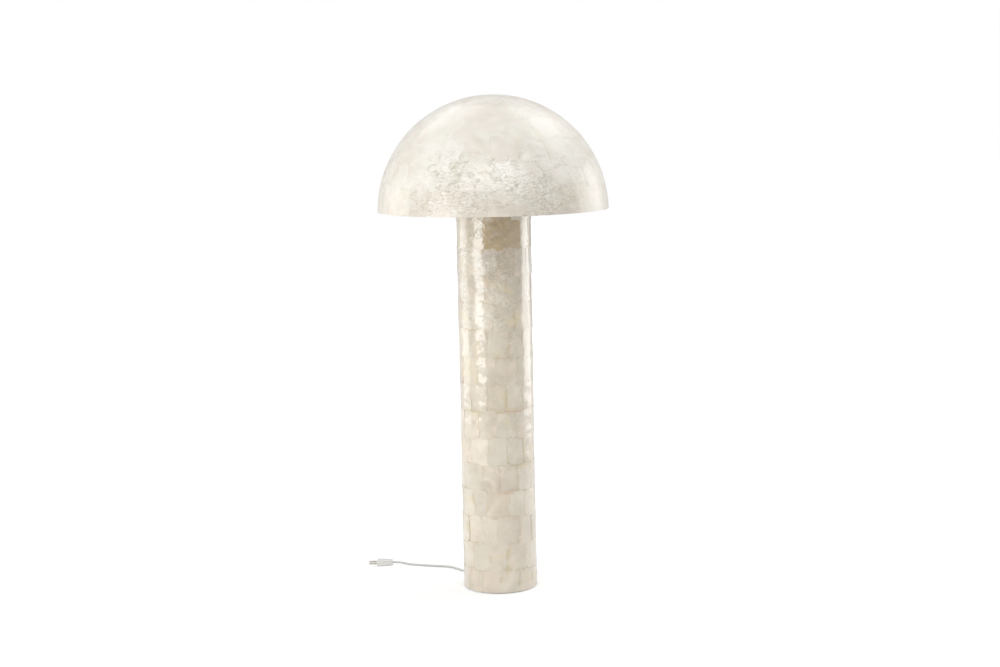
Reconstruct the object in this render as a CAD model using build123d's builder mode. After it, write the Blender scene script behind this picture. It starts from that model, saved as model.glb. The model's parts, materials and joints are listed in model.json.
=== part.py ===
"""Floor lamp with a shell-clad column and a lift-off dome shade, in millimetres.

+Z is up, -Y is the front, and the origin is the centre of the foot on the floor.
"""
import math
import os

from build123d import *

os.makedirs("parts", exist_ok=True)

# ---------------------------------------------------------------- driving dimensions
# Column and its shell cladding
column_radius = 81.5          # over the ridges of the shells
shell_thickness = 1.2
shell_joint = 1.2             # open joint between two shells
shell_corner = 6.0            # corner that is ground off each shell
shells_round = 12
top_course_height = 27.0      # cut to the length of the column
course_height = 58.5
bottom_course_height = 49.5
full_courses = 13
glue_line = 0.15
tube_wall = 3.0

# Foot, from the floor up
pad_thickness = 2.0
pad_inset = 3.0
pad_bore_radius = 34.0
cover_thickness = 3.0
weight_height = 40.0
weight_bore_radius = 32.0
weight_side_gap = 0.5
clamp_plate_radius = 58.0
clamp_plate_thickness = 3.0
cover_screw_circle = 56.0
cover_screw_radius = 2.5
cover_screw_head_radius = 5.0
cover_screw_head_height = 1.6
cover_screw_length = 20.0
cover_screw_count = 3

# Tie tube that clamps the column, and its nuts
tie_radius = 5.0
tie_bore_radius = 3.5
tie_nut_across = 17.0
tie_nut_height = 5.0
tie_tube_tail = 3.0           # how far it stands out below the lowest nut
tie_tube_thread = 9.0         # how far it enters the lamp holder
top_plate_thickness = 3.0

# Three-armed gallery that carries the shade
gallery_hub_radius = 26.0
gallery_thickness = 3.0
arm_width = 16.0
arm_count = 3
arm_joggle_clearance = 8.5    # from the column's edge to the first bend
arm_joggle_run = 8.0
arm_joggle_rise = 5.0
arm_overhang = 8.0            # beyond the stud
stud_inset = 17.0             # from the seat ring's edge to the middle of a stud
stud_radius = 2.5
stud_height = 9.0             # above the arm
pad_washer_radius = 7.5
pad_washer_height = 2.7

# Dome shade
dome_radius = 250.0
dome_wall = 4.0
dome_cut = 2.0                # rim height above the centre of the sphere
rim_drop = 6.0                # how far the rim hangs below the column's top
seat_ring_width = 26.0
seat_ring_thickness = 2.0
stud_hole_radius = 4.0
shade_rest_gap = 0.3

# Lamp holder and bulb
holder_neck_radius = 11.0
holder_neck_height = 8.0
holder_cap_height = 20.0
holder_radius = 19.5
holder_sleeve_height = 33.0
holder_wall = 4.5
insert_height = 8.0
screw_shell_wall = 0.6
screw_shell_height = 20.0
contact_height = 3.0
contact_radius = 5.0
bulb_cap_radius = 13.2
bulb_cap_height = 24.0
bulb_thread_gap = 0.35
bulb_tip_radius = 4.5
bulb_tip_height = 3.0
bulb_radius = 30.0
bulb_neck_radius = 14.5
bulb_length = 108.0
bulb_shoulder_angle = -25.0    # where the neck meets the round part

# Cord and what is on it
cord_radius = 2.4
cord_sides = 8
exit_angle = 60.0             # direction of the exit from +X: at the back, to the right
exit_height = 13.0
bush_bore_gap = 0.05
bush_flange_radius = 7.0
bush_flange_thickness = 2.0
bush_flange_clearance = 1.0   # between the flange and the tube's bore
bush_neck_radius = 4.6
bush_collar_radius = 6.4
bush_collar_thickness = 2.0
bush_taper_length = 24.0
bush_tip_radius = 3.4
bush_lead = 14.0              # straight cord beyond the tip
bend_radius = 20.0            # of the cord where it turns up into the tie tube
clamp_block_width = 13.0
clamp_block_length = 8.0
clamp_block_height = 13.0
clamp_block_edge = 1.0
clamp_block_circle = 46.0
channel_width = 17.0
channel_height = 17.0
coil_turns = 7
coil_outer_radius = 38.4        # to the middle of the cord
coil_inner_step = 1.0         # extra step in, where the coil climbs
coil_gap = 0.45               # between neighbouring turns and layers
coil_floor_gap = 0.1
gap_step = 3.0                # spacing of the points that the least gap is measured on
gap_reach = 40.0              # stretch of cord that isn't its own neighbour
switch_length = 60.0
switch_width = 28.0
switch_corner = 9.0
switch_base_height = 10.0
switch_cover_height = 8.0
switch_edge = 2.0
switch_lead = 14.5            # straight cord in front of the switch
switch_seam = 0.15
switch_cord_height = 7.0
button_radius = 8.5
button_gap = 0.35
button_stand = 2.0
coil_centre = (5.8, 150.0)
switch_centre = (64.0, 166.0)
plug_tail = (-250.0, 187.5)   # where the cord enters the plug, which points to -X
plug_length = 36.0
plug_width = 26.0
plug_thickness = 13.7
plug_tail_width = 10.0
plug_waist_width = 20.0
plug_waist_reach = 14.5       # from the tail to the waist
plug_edge = 2.0
pin_radius = 2.0
pin_spacing = 18.6
pin_length = 19.0

fit_gap = 0.1                 # radial, where one piece is slipped into another

# ---------------------------------------------------------------- derived places
half_shell = 180 / shells_round
half_facet = math.radians(half_shell / 2)
shell_back_radius = column_radius - shell_thickness
tube_radius = shell_back_radius * math.cos(half_facet) - glue_line
tube_bore = tube_radius - tube_wall
cover_base = pad_thickness
weight_base = cover_base + cover_thickness
weight_top = weight_base + weight_height
clamp_top = weight_top + clamp_plate_thickness
column_top = pad_thickness + bottom_course_height + full_courses * course_height + top_course_height
plate_base = column_top - top_plate_thickness
tie_base = weight_top - tie_nut_height - tie_tube_tail
hub_top = column_top + gallery_thickness
holder_base = hub_top + tie_nut_height
tie_top = holder_base + tie_tube_thread
arm_top = hub_top + arm_joggle_rise
seat_base = arm_top + pad_washer_height + shade_rest_gap
rim_height = column_top - rim_drop
dome_centre = rim_height - dome_cut
dome_bore = dome_radius - dome_wall
seat_top = seat_base + seat_ring_thickness
seat_outer = math.sqrt(dome_bore**2 - (seat_top - dome_centre) ** 2) - glue_line
stud_circle = seat_outer - stud_inset
arm_end = stud_circle + arm_overhang
arm_joggle_start = column_radius + arm_joggle_clearance
sleeve_base = holder_base + holder_cap_height
sleeve_bore = holder_radius - holder_wall
insert_top = sleeve_base + insert_height
shell_liner_radius = sleeve_bore - fit_gap
contact_top = insert_top + contact_height
bulb_base = contact_top + bulb_thread_gap
bulb_cap_base = bulb_base + bulb_tip_height
bulb_cap_top = bulb_cap_base + bulb_cap_height
exit_x = math.cos(math.radians(exit_angle))
exit_y = math.sin(math.radians(exit_angle))
bush_tip = column_radius + shade_rest_gap + bush_collar_thickness + bush_taper_length
coil_pitch = 2 * cord_radius + coil_gap
cord_floor = cord_radius + coil_floor_gap
coil_layer = cord_floor + coil_pitch
coil_entry_x = coil_centre[0] - coil_outer_radius
coil_exit_x = coil_entry_x + coil_pitch / 2

exit_axis = Axis((0, 0, exit_height), (exit_x, exit_y, 0))
exit_section = Plane(origin=(0, 0, exit_height), x_dir=(exit_x, exit_y, 0), z_dir=(exit_y, -exit_x, 0))
exit_face = Plane(origin=(0, 0, exit_height), z_dir=(exit_x, exit_y, 0))


def finish(piece, name):
    """Label a finished piece and write it out."""
    piece.label = name
    export_step(piece, f"parts/{name}.step")


def washer(name, base, height, outer, inner):
    """A flat round ring with a hole."""
    with BuildPart() as ring:
        with BuildSketch(Plane.XY.offset(base)):
            Circle(outer)
            Circle(inner, mode=Mode.SUBTRACT)
        extrude(amount=height)
    finish(ring.part, name)


# ---------------------------------------------------------------- foot
washer("foot_pad", 0, pad_thickness, tube_radius - pad_inset, pad_bore_radius)

screw_spots = PolarLocations(cover_screw_circle, cover_screw_count, start_angle=-90)

with BuildPart() as base_cover:
    with BuildSketch(Plane.XY.offset(cover_base)):
        Circle(tube_radius)
    extrude(amount=cover_thickness)
    with Locations(Location((0, 0, cover_base), (180, 0, 0))):
        with PolarLocations(cover_screw_circle, cover_screw_count, start_angle=90):
            CounterBoreHole(
                cover_screw_radius + fit_gap,
                cover_screw_head_radius + fit_gap,
                cover_screw_head_height,
            )
finish(base_cover.part, "base_cover")

with BuildPart() as base_screws:
    for spot in screw_spots.locations:
        with BuildSketch(Plane(spot).offset(cover_base)):
            Circle(cover_screw_radius)
        extrude(amount=cover_screw_length)
        with BuildSketch(Plane(spot).offset(cover_base)):
            Circle(cover_screw_head_radius)
        extrude(amount=cover_screw_head_height)
finish(base_screws.part, "base_screws")

with BuildPart() as base_weight:
    with BuildSketch(Plane.XY.offset(weight_base)):
        Circle(tube_bore - weight_side_gap)
        Circle(weight_bore_radius, mode=Mode.SUBTRACT)
        with Locations(screw_spots.locations):
            Circle(cover_screw_radius + fit_gap, mode=Mode.SUBTRACT)
    extrude(amount=weight_height)
    with BuildSketch(Plane(origin=(0, 0, weight_base), x_dir=(exit_x, exit_y, 0), z_dir=(0, 0, 1))):
        with Locations((tube_radius / 2, 0)):
            Rectangle(tube_radius, channel_width)
    extrude(amount=channel_height, mode=Mode.SUBTRACT)
finish(base_weight.part, "base_weight")

washer(
    "weight_clamp_plate",
    weight_top,
    clamp_plate_thickness,
    clamp_plate_radius,
    tie_radius + fit_gap,
)

# ---------------------------------------------------------------- column
with BuildPart() as column_tube:
    with BuildSketch(Plane.XY.offset(weight_base)):
        Circle(tube_radius)
        Circle(tube_bore, mode=Mode.SUBTRACT)
    extrude(amount=plate_base - weight_base)
    with BuildSketch(exit_face):
        Circle(bush_neck_radius + fit_gap)
    extrude(amount=column_radius, mode=Mode.SUBTRACT)
finish(column_tube.part, "column_tube")


def shell_tile(height):
    """A shell bent to two flats round the column, with its four corners ground off."""
    half_angle = math.pi / shells_round - shell_joint / 2 / column_radius
    bends = (-half_angle, 0, half_angle)
    front = [(column_radius * math.cos(a), column_radius * math.sin(a)) for a in bends]
    back = [(shell_back_radius * math.cos(a), shell_back_radius * math.sin(a)) for a in bends]
    with BuildPart() as tile:
        with BuildSketch():
            Polygon(*front, *reversed(back), align=None)
        extrude(amount=height)
        corners = tile.edges().filter_by(Axis.Z, reverse=True)
        corners = corners.filter_by(lambda edge: edge.length < 1.5 * shell_thickness)
        chamfer(corners, min(shell_corner, 0.4 * height))
    return tile.part


courses = [(pad_thickness, bottom_course_height)]
for number in range(full_courses):
    courses.append((courses[-1][0] + courses[-1][1], course_height))
courses.append((courses[-1][0] + courses[-1][1], top_course_height))

with BuildPart() as column_shells:
    for number, (base, height) in enumerate(courses):
        tile = shell_tile(height - shell_joint)
        with Locations((0, 0, base + (shell_joint if number else 0) / 2)):
            with PolarLocations(0, shells_round, start_angle=90 + half_shell * ((number + 1) % 2)):
                add(tile, clean=False)
    with BuildSketch(exit_face):
        Circle(bush_neck_radius + fit_gap)
    extrude(amount=column_radius + shell_thickness, mode=Mode.SUBTRACT)
finish(column_shells.part, "column_shells")

washer("top_plate", plate_base, top_plate_thickness, tube_radius, tie_radius + fit_gap)
washer("tie_tube", tie_base, tie_top - tie_base, tie_radius, tie_bore_radius)

with BuildPart() as tie_nuts:
    for base in (weight_top - tie_nut_height, clamp_top, hub_top):
        with BuildSketch(Plane.XY.offset(base)):
            RegularPolygon(tie_nut_across / 2, 6, major_radius=False)
            Circle(tie_radius + fit_gap, mode=Mode.SUBTRACT)
        extrude(amount=tie_nut_height)
finish(tie_nuts.part, "tie_nuts")

# ---------------------------------------------------------------- gallery for the shade
stud_spots = PolarLocations(stud_circle, arm_count, start_angle=90)


def joggled_arm():
    """Side view of an arm: flat on the column, a short step up, flat under the shade."""
    step_end = arm_joggle_start + arm_joggle_run
    with BuildSketch(Plane.XZ) as side:
        Polygon(
            (0, column_top),
            (arm_joggle_start, column_top),
            (step_end, column_top + arm_joggle_rise),
            (arm_end, column_top + arm_joggle_rise),
            (arm_end, arm_top),
            (step_end - arm_joggle_run / 4, arm_top),
            (arm_joggle_start - arm_joggle_run / 4, hub_top),
            (0, hub_top),
            align=None,
        )
    with BuildPart() as arm:
        extrude(side.sketch, amount=arm_width / 2, both=True)
        tips = arm.edges().filter_by(Axis.Z).group_by(Axis.X)[-1]
        fillet(tips, arm_width / 2 - fit_gap)
    return arm.part


with BuildPart() as shade_gallery:
    arm = joggled_arm()
    with PolarLocations(0, arm_count, start_angle=90):
        add(arm)
    with BuildSketch(Plane.XY.offset(column_top)):
        Circle(gallery_hub_radius)
    extrude(amount=gallery_thickness)
    with BuildSketch(Plane.XY.offset(column_top)):
        Circle(tie_radius + fit_gap)
        with Locations(stud_spots.locations):
            Circle(stud_radius + fit_gap)
    extrude(amount=arm_top, mode=Mode.SUBTRACT)
finish(shade_gallery.part, "shade_gallery")

with BuildPart() as gallery_studs:
    with BuildSketch(Plane.XY.offset(arm_top - gallery_thickness)):
        with Locations(stud_spots.locations):
            Circle(stud_radius)
    extrude(amount=gallery_thickness + stud_height)
finish(gallery_studs.part, "gallery_studs")

with BuildPart() as gallery_pads:
    with BuildSketch(Plane.XY.offset(arm_top)):
        with Locations(stud_spots.locations):
            Circle(pad_washer_radius)
            Circle(stud_radius + fit_gap, mode=Mode.SUBTRACT)
    extrude(amount=pad_washer_height)
finish(gallery_pads.part, "gallery_pads")

# ---------------------------------------------------------------- shade
def dome_arc(radius):
    """Quarter circle from the rim to the crown."""
    rim_angle = math.degrees(math.asin(dome_cut / radius))
    return CenterArc((0, dome_centre), radius, rim_angle, 90 - rim_angle)


with BuildPart() as shade_dome:
    with BuildSketch(Plane.XZ):
        with BuildLine():
            outside = dome_arc(dome_radius)
            inside = dome_arc(dome_bore)
            Line(outside @ 0, inside @ 0)
            Line(outside @ 1, inside @ 1)
        make_face()
    revolve(axis=Axis.Z)
finish(shade_dome.part, "shade_dome")

with BuildPart() as shade_seat_ring:
    with BuildSketch(Plane.XY.offset(seat_base)):
        Circle(seat_outer)
        Circle(seat_outer - seat_ring_width, mode=Mode.SUBTRACT)
        with Locations(stud_spots.locations):
            Circle(stud_hole_radius, mode=Mode.SUBTRACT)
    extrude(amount=seat_ring_thickness)
finish(shade_seat_ring.part, "shade_seat_ring")


# ---------------------------------------------------------------- lamp holder and bulb
def turned(name, profile):
    """A piece turned about the column's axis from half of its outline."""
    with BuildPart() as piece:
        with BuildSketch(Plane.XZ):
            Polygon(*profile, align=None)
        revolve(axis=Axis.Z)
    finish(piece.part, name)


cap_shoulder = holder_base + holder_neck_height
turned(
    "holder_cap",
    [
        (tie_radius + fit_gap, holder_base),
        (holder_neck_radius, holder_base),
        (holder_neck_radius, cap_shoulder),
        (holder_radius, cap_shoulder),
        (holder_radius, sleeve_base),
        (sleeve_bore, sleeve_base),
        (sleeve_bore, cap_shoulder + holder_wall),
        (tie_radius + fit_gap, cap_shoulder + holder_wall),
    ],
)
turned(
    "holder_sleeve",
    [
        (sleeve_bore, sleeve_base),
        (holder_radius, sleeve_base),
        (holder_radius, sleeve_base + holder_sleeve_height),
        (sleeve_bore, sleeve_base + holder_sleeve_height),
    ],
)
turned(
    "holder_insert",
    [
        (0, sleeve_base),
        (shell_liner_radius, sleeve_base),
        (shell_liner_radius, insert_top),
        (0, insert_top),
    ],
)
turned(
    "holder_screw_shell",
    [
        (shell_liner_radius - screw_shell_wall, insert_top),
        (shell_liner_radius, insert_top),
        (shell_liner_radius, insert_top + screw_shell_height),
        (shell_liner_radius - screw_shell_wall, insert_top + screw_shell_height),
    ],
)

with BuildPart() as holder_contact:
    with BuildSketch(Plane.XZ):
        with BuildLine():
            Polyline(
                (-contact_radius, insert_top),
                (contact_radius, insert_top),
                (contact_radius, insert_top + contact_height),
                (-contact_radius / 2, insert_top + contact_height),
                (-contact_radius, insert_top + contact_height / 2),
                close=True,
            )
        make_face()
    extrude(amount=contact_radius / 2, both=True)
finish(holder_contact.part, "holder_contact")

turned(
    "bulb_tip",
    [
        (0, bulb_base),
        (bulb_tip_radius, bulb_base),
        (bulb_tip_radius, bulb_cap_base),
        (0, bulb_cap_base),
    ],
)
turned(
    "bulb_cap",
    [
        (0, bulb_cap_base),
        (bulb_cap_radius, bulb_cap_base),
        (bulb_cap_radius, bulb_cap_top),
        (0, bulb_cap_top),
    ],
)

bulb_top = bulb_base + bulb_length
bulb_middle = bulb_top - bulb_radius


with BuildPart() as bulb_globe:
    with BuildSketch(Plane.XZ):
        with BuildLine():
            crown = CenterArc((0, bulb_middle), bulb_radius, bulb_shoulder_angle, 90 - bulb_shoulder_angle)
            Line(crown @ 0, (bulb_neck_radius, bulb_cap_top))
            Polyline((bulb_neck_radius, bulb_cap_top), (0, bulb_cap_top), crown @ 1)
        make_face()
    revolve(axis=Axis.Z)
finish(bulb_globe.part, "bulb_globe")


# ---------------------------------------------------------------- cord
def bend_radii(route):
    """A bend at each corner, as large as its two runs allow."""
    points = [Vector(*point) for point in route]
    radii = []
    for before, corner, after in zip(points, points[1:], points[2:]):
        turn = math.radians((corner - before).get_angle(after - corner))
        run = min((corner - before).length, (after - corner).length)
        radii.append(0.45 * run / math.tan(turn / 2))
    return radii


def cord_section(path):
    """The cord's cross-section at the start of a path, with a flat to the floor."""
    start = path @ 0
    along = path % 0
    return Plane(origin=start, x_dir=along.cross(Vector(0, 0, 1)), z_dir=along)


def free_cord(name, route):
    """A free stretch of cord through a route of points."""
    radii = bend_radii(route)
    with BuildPart() as stretch:
        with BuildLine() as line:
            FilletPolyline(*route, radius=radii)
        with BuildSketch(cord_section(line.wires()[0])):
            RegularPolygon(cord_radius, cord_sides, rotation=180 / cord_sides)
        sweep(path=line.wires()[0])
        length = line.wires()[0].length
        area = stretch.part.volume / length
    print(name, "bend radii", [round(r) for r in radii], "length", round(length, 1), "section", round(area, 2))
    finish(stretch.part, name)
    return length


exit_tip = (bush_tip * exit_x, bush_tip * exit_y, exit_height)
switch_front = switch_centre[1] - switch_length / 2
switch_back = switch_centre[1] + switch_length / 2

to_switch = [
    exit_tip,
    ((bush_tip + bush_lead) * exit_x, (bush_tip + bush_lead) * exit_y, exit_height),
    (switch_centre[0], switch_front - switch_lead, switch_cord_height),
    (switch_centre[0], switch_front, switch_cord_height),
]
to_coil = [
    (switch_centre[0], switch_back, switch_cord_height),
    (switch_centre[0], 210, switch_cord_height),
    (57, 225, 3.2),
    (41, 236, cord_floor),
    (20, 240.5, cord_floor),
    (-2, 236, cord_floor),
    (-19, 222.5, cord_floor),
    (-29, 203, cord_floor),
    (coil_entry_x, 181, cord_floor),
    (coil_entry_x, coil_centre[1] + 2 * cord_radius, cord_floor),
]
to_plug = [
    (coil_exit_x, coil_centre[1] - 2 * cord_radius, coil_layer),
    (coil_exit_x, 131, coil_layer),
    (-33.5, 116.5, 6.4),
    (-43.5, 105, 4.2),
    (-58.5, 100.3, 2.9),
    (-73.5, 104, cord_floor),
    (-85.5, 115, cord_floor),
    (-96.5, 129, cord_floor),
    (-112.5, 151.5, cord_floor),
    (-136, 158.5, cord_floor),
    (-163, 165.5, cord_floor),
    (-190, 174.5, cord_floor),
    (-213, 183, cord_floor),
    (-235, plug_tail[1], plug_thickness / 2),
    (*plug_tail, plug_thickness / 2),
]

cord_length = free_cord("cord_to_switch", to_switch)
cord_length += free_cord("cord_to_coil", to_coil)
cord_length += free_cord("cord_to_plug", to_plug)


def coil_nodes():
    """Half-turn points of a coil that winds in, climbs a layer in a half turn and winds out."""
    half_turns = 2 * coil_turns
    inner = coil_outer_radius - coil_pitch * coil_turns / 2 - coil_inner_step
    for step in range(half_turns + 1):
        if step < coil_turns:
            radius = coil_outer_radius - step * coil_pitch / 2
        elif step <= coil_turns + 1:
            radius = inner
        else:
            radius = coil_outer_radius - coil_pitch / 2 - (half_turns - step) * coil_pitch / 2
        side = -1 if step % 2 == 0 else 1
        height = cord_floor if step <= coil_turns else coil_layer
        yield Vector(coil_centre[0] + side * radius, coil_centre[1], height), Vector(0, side, 0)


def arc_between(start, corner, end):
    """The arc that is tangent to both lines of a corner of equal arms."""
    weight = (end - start).length / 2 / (corner - start).length
    middle = (start + corner * (2 * weight) + end) / (2 + 2 * weight)
    return ThreePointArc(start, middle, end)


with BuildPart() as cord_coil:
    with BuildLine() as winding:
        nodes = list(coil_nodes())
        lead = Vector(0, 2 * cord_radius, 0)
        Line(nodes[0][0] + lead, nodes[0][0])
        for (start, heading), (end, final_heading) in zip(nodes, nodes[1:]):
            arm = (end - start).length / 2
            first_corner = start + heading * arm
            last_corner = end - final_heading * arm
            join = (first_corner + last_corner) / 2
            arc_between(start, first_corner, join)
            arc_between(join, last_corner, end)
        Line(nodes[-1][0], nodes[-1][0] - lead)
    coil_path = winding.wires()[0]
    with BuildSketch(cord_section(coil_path)):
        RegularPolygon(cord_radius, cord_sides, rotation=180 / cord_sides)
    sweep(path=coil_path)
finish(cord_coil.part, "cord_coil")


def least_gap(path):
    """Least distance between a cord's surface and its other turns."""
    count = int(path.length / gap_step)
    points = [path @ (step / count) for step in range(count + 1)]
    skip = int(gap_reach / gap_step)
    nearest = min((a - b).length for i, a in enumerate(points) for b in points[i + skip:])
    return nearest - 2 * cord_radius


cord_length += coil_path.length + switch_length + bush_taper_length
print("coil length", round(coil_path.length, 1), "least gap", round(least_gap(coil_path), 2))
print("coil section", round(cord_coil.part.volume / coil_path.length, 2))
print("cord length", round(cord_length, 1))

with BuildPart() as cord_bush:
    bush_inside = tube_bore - bush_flange_clearance - bush_flange_thickness
    collar_base = column_radius + shade_rest_gap
    collar_top = collar_base + bush_collar_thickness
    with BuildSketch(exit_section):
        Polygon(
            (bush_inside, cord_radius + bush_bore_gap),
            (bush_inside, bush_flange_radius),
            (bush_inside + bush_flange_thickness, bush_flange_radius),
            (bush_inside + bush_flange_thickness, bush_neck_radius),
            (collar_base, bush_neck_radius),
            (collar_base, bush_collar_radius),
            (collar_top, bush_collar_radius),
            (collar_top, bush_neck_radius),
            (bush_tip, bush_tip_radius),
            (bush_tip, cord_radius + bush_bore_gap),
            align=None,
        )
    revolve(axis=exit_axis)
finish(cord_bush.part, "cord_bush")

with BuildPart() as inner_cord:
    with BuildLine(exit_section) as inner_route:
        FilletPolyline(
            (bush_tip, 0),
            (0, 0),
            (0, sleeve_base - exit_height),
            radius=bend_radius,
        )
    with BuildSketch(cord_section(inner_route.wires()[0])):
        RegularPolygon(cord_radius, cord_sides, rotation=180 / cord_sides)
    sweep(path=inner_route.wires()[0])
finish(inner_cord.part, "inner_cord")

with BuildPart() as cord_clamp:
    clamp_face = Plane(origin=(0, 0, weight_base), x_dir=(exit_x, exit_y, 0), z_dir=(0, 0, 1))
    with BuildSketch(clamp_face):
        with Locations((clamp_block_circle, 0)):
            Rectangle(clamp_block_length, clamp_block_width)
    extrude(amount=clamp_block_height)
    chamfer(cord_clamp.faces().sort_by(Axis.Z)[-1].edges(), clamp_block_edge)
    with BuildSketch(exit_face):
        Circle(cord_radius + bush_bore_gap)
    extrude(amount=column_radius, mode=Mode.SUBTRACT)
finish(cord_clamp.part, "cord_clamp")


# ---------------------------------------------------------------- foot switch on the cord
def switch_block(base, height):
    """A block with the switch's round-ended outline."""
    with BuildPart() as block:
        with BuildSketch(Plane.XY.offset(base)):
            with Locations(switch_centre):
                RectangleRounded(switch_width, switch_length, switch_corner)
        extrude(amount=height)
    return block.part


button_base = switch_base_height + button_stand
cover_top = switch_base_height + switch_seam + switch_cover_height

finish(switch_block(0, switch_base_height), "switch_base")

with BuildPart() as switch_cover:
    add(switch_block(switch_base_height + switch_seam, switch_cover_height))
    chamfer(switch_cover.faces().sort_by(Axis.Z)[-1].edges(), switch_edge)
    with Locations((*switch_centre, cover_top)):
        Hole(button_radius + button_gap)
finish(switch_cover.part, "switch_cover")

with BuildPart() as switch_button:
    with BuildSketch(Plane.XY.offset(button_base)):
        with Locations(switch_centre):
            Circle(button_radius)
    extrude(amount=cover_top + button_stand - button_base)
finish(switch_button.part, "switch_button")

# ---------------------------------------------------------------- plug
plug_face_x = plug_tail[0] - plug_length

with BuildPart() as plug_body:
    with BuildSketch():
        with Locations(plug_tail):
            Polygon(
                (0, -plug_tail_width / 2),
                (0, plug_tail_width / 2),
                (-plug_waist_reach, plug_waist_width / 2),
                (-plug_length, plug_width / 2),
                (-plug_length, -plug_width / 2),
                (-plug_waist_reach, -plug_waist_width / 2),
                align=None,
            )
    extrude(amount=plug_thickness)
    chamfer(plug_body.faces().filter_by(Axis.Z).edges(), plug_edge)
finish(plug_body.part, "plug_body")

with BuildPart() as plug_pins:
    pin_root = (plug_face_x, plug_tail[1], plug_thickness / 2)
    with BuildSketch(Plane(origin=pin_root, x_dir=(0, 1, 0), z_dir=(-1, 0, 0))):
        with GridLocations(pin_spacing, pin_spacing, 2, 1):
            Circle(pin_radius)
    extrude(amount=pin_length)
finish(plug_pins.part, "plug_pins")
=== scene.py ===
"""Mushroom floor lamp clad in windowpane shell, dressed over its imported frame.

Metres, +Z up, -Y to the front. Colours are written as 8-bit sRGB and turned to linear by paint().
"""
import json
import math

import bpy
import numpy as np
from mathutils import Matrix, Vector


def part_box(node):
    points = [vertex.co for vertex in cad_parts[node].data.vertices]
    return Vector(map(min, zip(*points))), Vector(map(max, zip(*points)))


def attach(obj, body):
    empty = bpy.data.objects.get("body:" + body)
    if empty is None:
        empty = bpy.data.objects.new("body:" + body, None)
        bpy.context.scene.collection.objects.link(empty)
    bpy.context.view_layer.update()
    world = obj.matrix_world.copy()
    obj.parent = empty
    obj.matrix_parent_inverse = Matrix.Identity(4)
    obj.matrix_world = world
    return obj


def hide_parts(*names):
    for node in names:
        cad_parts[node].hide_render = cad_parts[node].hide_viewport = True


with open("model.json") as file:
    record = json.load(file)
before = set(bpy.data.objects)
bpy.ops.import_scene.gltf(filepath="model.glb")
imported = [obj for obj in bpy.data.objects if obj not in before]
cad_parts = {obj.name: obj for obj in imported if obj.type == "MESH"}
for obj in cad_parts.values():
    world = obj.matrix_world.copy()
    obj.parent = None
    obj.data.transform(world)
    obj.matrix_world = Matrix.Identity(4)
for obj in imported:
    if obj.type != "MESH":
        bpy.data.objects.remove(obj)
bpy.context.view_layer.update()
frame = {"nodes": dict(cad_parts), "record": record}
nodes = frame["nodes"]

# ------------------------------------------------------------------ driving sizes, in metres
CORD_RADIUS = 0.0024
COIL_CENTRE = (0.0058, 0.150)
COIL_RADIUS = 0.0384
COIL_PITCH = 0.00525
COIL_INNER_STEP = 0.001
COIL_TURNS = 7
COIL_POINTS = 24                 # control points in each turn
CORD_FLOOR = 0.0025              # middle of the cord where it lies on the floor
COIL_LAYER = CORD_FLOOR + COIL_PITCH
BUSH_TIP = 0.1078                # from the column's axis
BUSH_LEAD = 0.014
EXIT_ANGLE = math.radians(60)
EXIT_HEIGHT = 0.013

COLUMN_FACE = 0.0808             # mean radius of the shells' faces
COLUMN_BED = 0.0800              # radius of the glue between them
COLUMN_PLAY = 0.0006             # most that a face stands out from its mean radius, or lies under it
SHELLS_ROUND = 12
SHELL_LAP = 0.0045               # how far the shells of the column lap over each other
SEAM_DRIFT = 0.06                # spread of the column's seams from even steps, in shell widths
LEAF_ROOT = 0.0004               # how far the feet of the column's shells are sunk into the glue
GLUE_THICKNESS = 0.0005
COURSE_HEIGHT = 0.0585
BOTTOM_COURSE = 0.0495
TOP_COURSE = 0.027
FULL_COURSES = 13
COLUMN_BASE = 0.002

DOME_RADIUS = 0.25
DOME_FACE = 0.2494               # mean radius of the shells' faces
DOME_PLAY = 0.0005
DOME_CENTRE = 0.831
DOME_CUT = 0.002
DOME_WALL = 0.004
DOME_COURSES = 6
DOME_CROWN = math.radians(78)    # where the courses end, as an angle above the rim's plane
DOME_SHELL_WIDTH = 0.060
DOME_LAP = 0.005                 # how far a shell of the shade laps over each neighbour
DOME_STAGGER = 0.004             # most that a shell lies above or below its course
DOME_DRIFT = 0.08                # spread of the shade's seams from even steps, in shell widths
DOME_LEAF_DEPTH = 0.0008         # from a shell's mean face to its foot
DOME_SKIN_DEPTH = 0.0012         # from the shade's full radius to the skin under the shells
DOME_PINHOLE = 0.002             # angle from the pole where the skin and the bore meet
LEAF_POINTS = 15                 # points along each side of a leaf's face
ROUND_STEPS = 192                # faces round the turned pieces
ARC_STEPS = 64                   # points along each of the shade's two arcs


# ------------------------------------------------------------------ camera
def photo_camera():
    """Camera at the photograph's place, turned by yaw, pitch and roll in radians.

    The focal length is in pixels of a frame 1000 px wide.
    """
    focal_px, frame_px, sensor = 1809.7, 1000, 36.0
    distance, height = 3.919, 1.0734
    yaw, pitch, roll = 0.0024, 0.1297, -0.0199
    ahead = Vector((math.sin(yaw) * math.cos(pitch), math.cos(yaw) * math.cos(pitch), -math.sin(pitch)))
    right = Vector((math.cos(yaw), -math.sin(yaw), 0))
    up = right.cross(ahead)
    side = right * math.cos(roll) + up * math.sin(roll)
    top = up * math.cos(roll) - right * math.sin(roll)
    data = bpy.data.cameras.new("camera")
    data.sensor_width = sensor
    data.lens = focal_px / frame_px * sensor
    camera = bpy.data.objects.new("camera", data)
    turn = Matrix((side, top, -ahead)).transposed().to_4x4()
    camera.matrix_world = Matrix.Translation((0, -distance, height)) @ turn
    bpy.context.scene.collection.objects.link(camera)
    bpy.context.scene.camera = camera


photo_camera()


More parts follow.
